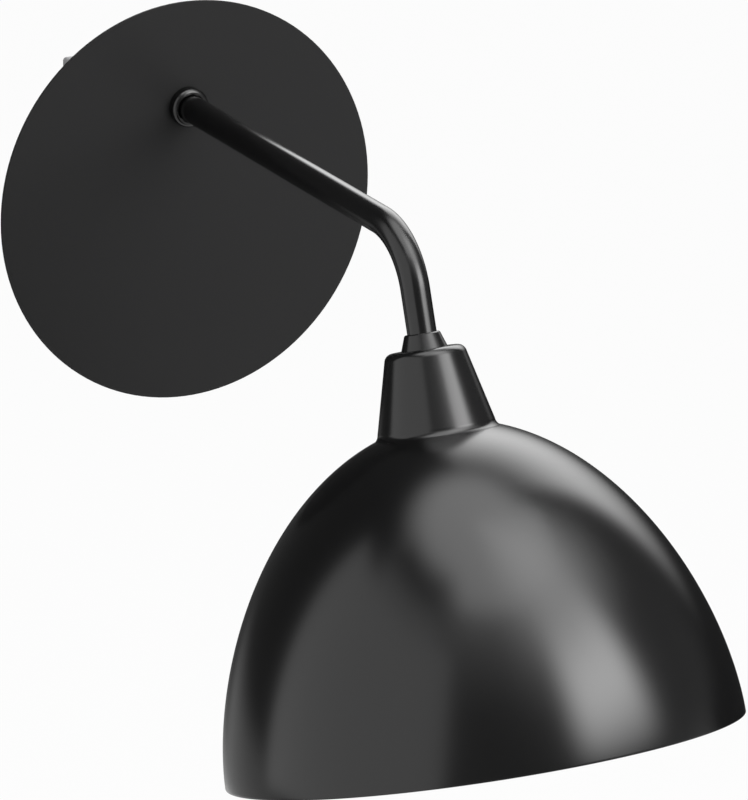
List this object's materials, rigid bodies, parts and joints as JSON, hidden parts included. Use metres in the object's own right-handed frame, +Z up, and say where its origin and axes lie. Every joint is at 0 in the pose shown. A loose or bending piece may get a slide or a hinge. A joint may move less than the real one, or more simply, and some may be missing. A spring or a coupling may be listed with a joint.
{
  "type": "wall light",
  "caption": "Wall light with a round face plate over a flat box, a bent tube arm and a leaning domed metal shade.",
  "frame": {"origin": "on the wall plane, at the middle of the four wall fixing holes, behind the centre of the face plate", "axes": "+Z up; +Y into the wall, so the arm and shade reach out towards -Y; +X to the right when seen from the room"},
  "size_m": [0.265, 0.4865, 0.3581],
  "materials": {
    "black_paint": "satin",
    "plate_paint": "matte",
    "box_paint": "matte",
    "zinc_steel": "satin",
    "brass": "satin",
    "nickel_cap": "satin",
    "cream_plastic": "matte",
    "black_plastic": "satin",
    "white_ceramic": "gloss",
    "nylon": "matte",
    "grey_rubber": "matte",
    "flex_sheath": "matte",
    "brown_core": "satin",
    "blue_core": "satin",
    "earth_core": "satin",
    "lamp_glass": "gloss"
  },
  "bodies": {
    "wall_side": {"wall_box": "box_paint", "cable_grommet": "grey_rubber", "face_plate": "plate_paint", "plate_tabs": "box_paint", "plate_screws": "zinc_steel", "collar": "black_paint", "arm_socket": "box_paint", "stop_pin": "zinc_steel", "socket_studs": "zinc_steel", "socket_washers": "zinc_steel", "socket_nuts": "zinc_steel", "terminal_block": "cream_plastic", "terminal_screws": "brass", "block_screws": "zinc_steel", "earth_stud": "zinc_steel", "earth_tag": "brass", "earth_nut": "zinc_steel", "earth_lead": "earth_core", "live_core": "brown_core", "neutral_core": "blue_core"},
    "arm": {"arm_tube": "black_paint", "tube_clip": "zinc_steel", "friction_washer": "nylon", "end_plug": "zinc_steel", "arm_flex": "flex_sheath", "tube_insert": "zinc_steel", "nipple": "zinc_steel", "tube_cone": "black_paint", "lock_washer": "zinc_steel", "lock_nut": "zinc_steel", "neck_cup": "black_paint", "shade_dome": "black_paint", "holder_cap": "black_plastic", "holder_grub": "zinc_steel", "holder_body": "black_plastic", "holder_core": "white_ceramic", "holder_shell": "brass", "centre_contact": "brass", "holder_terminals": "brass", "holder_live_lead": "brown_core", "holder_neutral_lead": "blue_core"},
    "ring": {"shade_ring": "black_plastic"},
    "lamp": {"lamp_contact": "brass", "lamp_insulator": "white_ceramic", "lamp_cap": "nickel_cap", "lamp_glass": "lamp_glass"}
  },
  "joints": [
    {"name": "arm_turn", "type": "hinge", "parent": "wall_side", "child": "arm", "pos_m": [0, -0.032, 0.054], "axis": [0, -0.9993, -0.0384], "range_deg": [-35, 35]},
    {"name": "ring_turn", "type": "hinge", "parent": "arm", "child": "ring", "pos_m": [0, -0.31177, -0.05587], "axis": [0, -0.314, -0.9494], "range_deg": [0, 720]},
    {"name": "lamp_out", "type": "slide", "parent": "arm", "child": "lamp", "axis": [0, -0.314, -0.9494], "range_m": [0, 0.175]}
  ]
}
